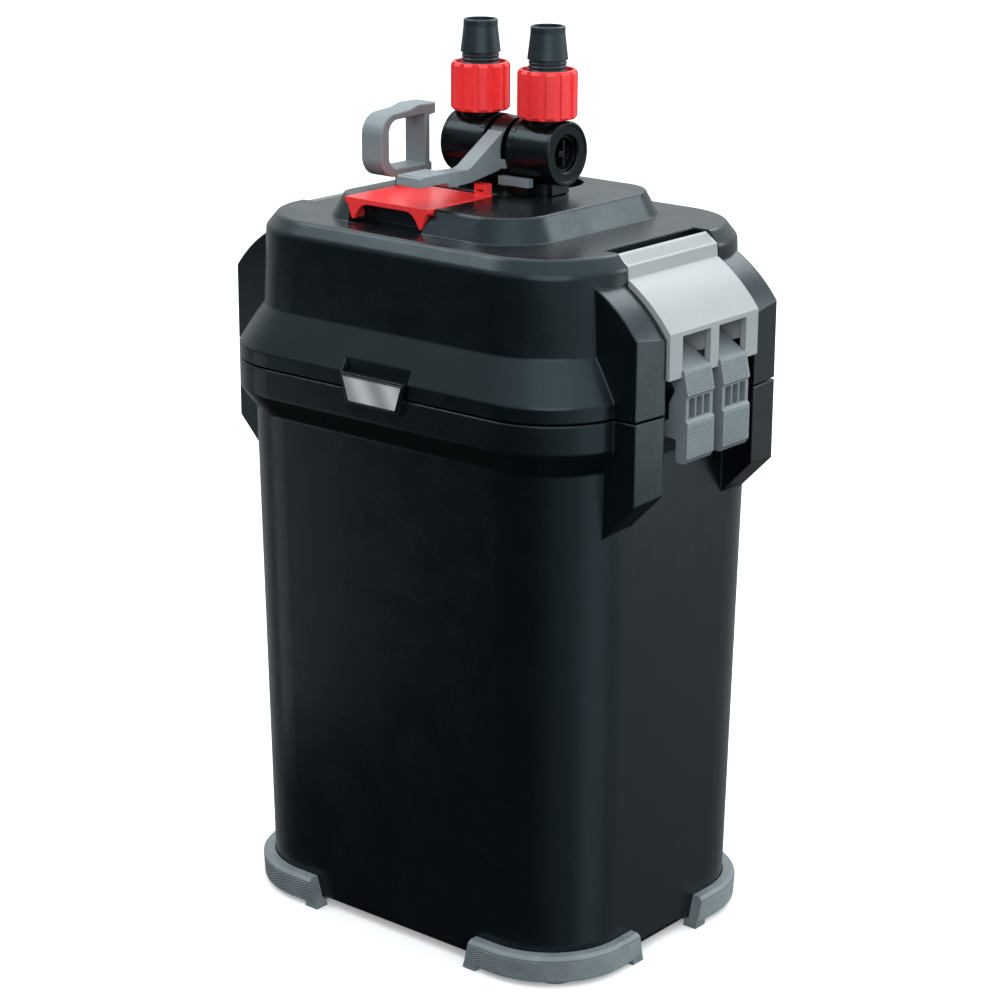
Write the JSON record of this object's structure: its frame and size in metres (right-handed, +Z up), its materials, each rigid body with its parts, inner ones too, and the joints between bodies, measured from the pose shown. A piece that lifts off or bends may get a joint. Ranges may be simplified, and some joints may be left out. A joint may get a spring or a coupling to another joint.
{
  "type": "canister filter",
  "caption": "Tall canister filter: rounded tank with media baskets, motor head held by two side clamps, hose valve with two nozzles, shut-off lever and priming handle.",
  "frame": {"origin": "on the floor, centred under the tank's feet", "axes": "+Z up, the front faces -Y, the clamps are at -X (left) and +X (right)"},
  "size_m": [0.2466, 0.1748, 0.4156],
  "materials": {
    "shell_plastic": "satin charcoal moulding, fine texture",
    "head_inner_plastic": "plain moulded",
    "valve_plastic": "polished black",
    "nozzle_plastic": "satin",
    "badge_metal": "brushed, blank",
    "foot_rubber": "matte, fine diagonal grooves",
    "grey_plastic": "satin, knurled grips",
    "silver_plastic": "silver lacquer",
    "red_plastic": "semi-gloss",
    "basket_plastic": "plain moulded",
    "ceramic": "unglazed",
    "foam": "open-cell foam",
    "filter_floss": "felted floss",
    "bag_mesh": "net bag of carbon",
    "seal_rubber": "moulded rubber",
    "steel": "drawn",
    "laminated_steel": "laminated",
    "coil_bobbin": "varnished winding",
    "magnet": "sintered",
    "impeller_plastic": "moulded"
  },
  "bodies": {
    "tank": {"tank": "shell_plastic", "rim_catches": "shell_plastic", "badge_plate": "badge_metal", "foot_front_left": "foot_rubber", "foot_front_right": "foot_rubber", "foot_rear_left": "foot_rubber", "foot_rear_right": "foot_rubber", "media_basket_lower": "basket_plastic", "media_basket_middle": "basket_plastic", "media_basket_upper": "basket_plastic", "basket_lid": "basket_plastic", "basket_sling": "basket_plastic", "ceramic_rings": "ceramic", "carbon_bag": "bag_mesh", "polishing_pad": "filter_floss", "foam_frame": "basket_plastic", "foam_pad_inner": "foam", "foam_pad_outer": "foam"},
    "head": {"head_housing": "shell_plastic", "head_chassis": "head_inner_plastic", "head_gasket": "seal_rubber", "head_screws": "steel", "stator_core": "laminated_steel", "motor_coils": "coil_bobbin", "impeller_shaft": "ceramic", "shaft_bushings": "seal_rubber", "impeller_cover": "head_inner_plastic", "primer_cylinder": "head_inner_plastic", "cord_gland": "head_inner_plastic", "clamp_hinge_pins": "steel", "tab_pin": "steel"},
    "rotor": {"rotor_magnet": "magnet", "impeller": "impeller_plastic"},
    "primer": {"primer_handle": "grey_plastic", "primer_piston": "impeller_plastic", "primer_seal": "seal_rubber"},
    "valve": {"valve_body": "valve_plastic", "spigot_seals": "seal_rubber", "valve_lock_plate": "grey_plastic", "valve_end_cap_left": "valve_plastic", "valve_end_cap_right": "valve_plastic", "hose_nozzle_left": "nozzle_plastic", "hose_nozzle_right": "nozzle_plastic"},
    "nut_left": {"lock_nut_left": "red_plastic"},
    "nut_right": {"lock_nut_right": "red_plastic"},
    "lever": {"valve_lever": "grey_plastic", "lever_hub": "valve_plastic", "valve_rotor_left": "valve_plastic", "valve_rotor_right": "valve_plastic"},
    "tab": {"release_tab": "red_plastic"},
    "clamp_left": {"clamp_panel_left": "silver_plastic", "arm_pin_left": "steel", "arm_springs_left": "steel"},
    "clamp_right": {"clamp_panel_right": "silver_plastic", "arm_pin_right": "steel", "arm_springs_right": "steel"},
    "arm_left_front": {"clamp_arm_left_front": "grey_plastic"},
    "arm_left_rear": {"clamp_arm_left_rear": "grey_plastic"},
    "arm_right_front": {"clamp_arm_right_front": "grey_plastic"},
    "arm_right_rear": {"clamp_arm_right_rear": "grey_plastic"}
  },
  "joints": [
    {"name": "head_lift", "type": "slide", "parent": "tank", "child": "head", "axis": [0, 0, 1], "range_m": [0, 0.028]},
    {"name": "clamp_left_swing", "type": "hinge", "parent": "head", "child": "clamp_left", "pos_m": [-0.0942, 0, 0.3226], "axis": [0, 1, 0], "range_deg": [0, 80]},
    {"name": "clamp_right_swing", "type": "hinge", "parent": "head", "child": "clamp_right", "pos_m": [0.0942, 0, 0.3226], "axis": [0, -1, 0], "range_deg": [0, 80]},
    {"name": "arm_left_front_release", "type": "hinge", "parent": "clamp_left", "child": "arm_left_front", "pos_m": [-0.1065, 0, 0.2875], "axis": [0, 1, 0], "range_deg": [0, 12], "stiffness_Nm_per_rad": 0.2, "springref_deg": -5.73},
    {"name": "arm_left_rear_release", "type": "hinge", "parent": "clamp_left", "child": "arm_left_rear", "pos_m": [-0.1065, 0, 0.2875], "axis": [0, 1, 0], "range_deg": [0, 12], "stiffness_Nm_per_rad": 0.2, "springref_deg": -5.73},
    {"name": "arm_right_front_release", "type": "hinge", "parent": "clamp_right", "child": "arm_right_front", "pos_m": [0.1065, 0, 0.2875], "axis": [0, -1, 0], "range_deg": [0, 12], "stiffness_Nm_per_rad": 0.2, "springref_deg": -5.73},
    {"name": "arm_right_rear_release", "type": "hinge", "parent": "clamp_right", "child": "arm_right_rear", "pos_m": [0.1065, 0, 0.2875], "axis": [0, -1, 0], "range_deg": [0, 12], "stiffness_Nm_per_rad": 0.2, "springref_deg": -5.73},
    {"name": "valve_lift", "type": "slide", "parent": "head", "child": "valve", "axis": [0, 0, 1], "range_m": [0, 0.05]},
    {"name": "lever_turn", "type": "hinge", "parent": "valve", "child": "lever", "pos_m": [0, 0.009, 0.3599], "axis": [-1, 0, 0], "range_deg": [0, 85]},
    {"name": "tab_lift", "type": "hinge", "parent": "head", "child": "tab", "pos_m": [0, -0.014, 0.339], "axis": [-1, 0, 0], "range_deg": [0, 10]},
    {"name": "primer_stroke", "type": "slide", "parent": "head", "child": "primer", "axis": [0, 0, 1], "range_m": [0, 0.036]},
    {"name": "nut_left_turn", "type": "hinge", "parent": "valve", "child": "nut_left", "pos_m": [-0.0194, 0.009, 0.386], "axis": [0, 0, 1], "continuous": true},
    {"name": "nut_right_turn", "type": "hinge", "parent": "valve", "child": "nut_right", "pos_m": [0.0194, 0.009, 0.386], "axis": [0, 0, 1], "continuous": true},
    {"name": "impeller_spin", "type": "hinge", "parent": "head", "child": "rotor", "pos_m": [0.016, 0.024, 0.28], "axis": [0, 0, 1], "continuous": true}
  ],
  "couplings": [
    {"joint": "clamp_left_swing", "follows": "head_lift", "rad_per_m": 49.85},
    {"joint": "clamp_right_swing", "follows": "head_lift", "rad_per_m": 49.85}
  ]
}
